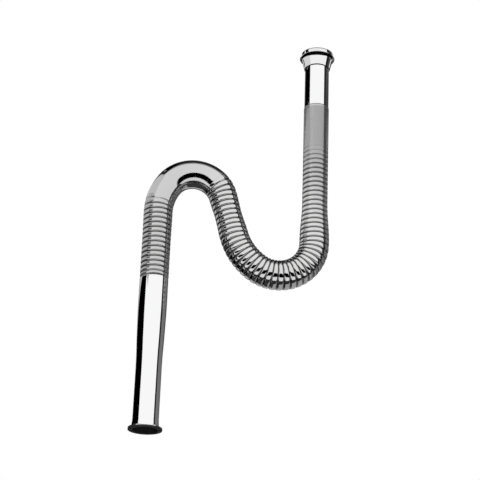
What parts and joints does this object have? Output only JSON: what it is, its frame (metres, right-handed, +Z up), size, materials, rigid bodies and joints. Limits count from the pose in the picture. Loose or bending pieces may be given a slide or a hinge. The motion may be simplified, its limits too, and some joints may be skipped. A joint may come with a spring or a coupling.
{
  "type": "sink drain",
  "caption": "Flexible corrugated metal sink drain bent into a trap, with a polished tail at each end, a coupling nut at the inlet and a rubber washer at the outlet.",
  "frame": {"origin": "centre of the inlet tail's bore at the top face of its flange, inside the coupling nut", "axes": "+Z up along the inlet tail, out of its mouth, as the drain hangs from a sink; the tube is bent in the XZ plane and the outlet tail is on the -X side; the front faces -Y"},
  "size_m": [0.2466, 0.0468, 0.5359],
  "materials": {
    "satin_tube": "satin metal, bright on the rings",
    "polished_tail": "polished",
    "polished_nut": "polished",
    "brass_ring": "machined",
    "rubber": "matte"
  },
  "bodies": {
    "drain_tube": {"corrugated_tube": "satin_tube", "inlet_tail": "polished_tail", "outlet_tail": "polished_tail", "inlet_gasket": "rubber", "outlet_washer": "rubber"},
    "slip_ring": {"slip_ring": "brass_ring"},
    "coupling_nut": {"coupling_nut": "polished_nut"}
  },
  "joints": [
    {"name": "nut_slide", "type": "slide", "parent": "drain_tube", "child": "slip_ring", "axis": [0, 0, -1], "range_m": [0, 0.0585]},
    {"name": "nut_spin", "type": "hinge", "parent": "slip_ring", "child": "coupling_nut", "pos_m": [0, 0, 0], "axis": [0, 0, 1], "continuous": true}
  ]
}
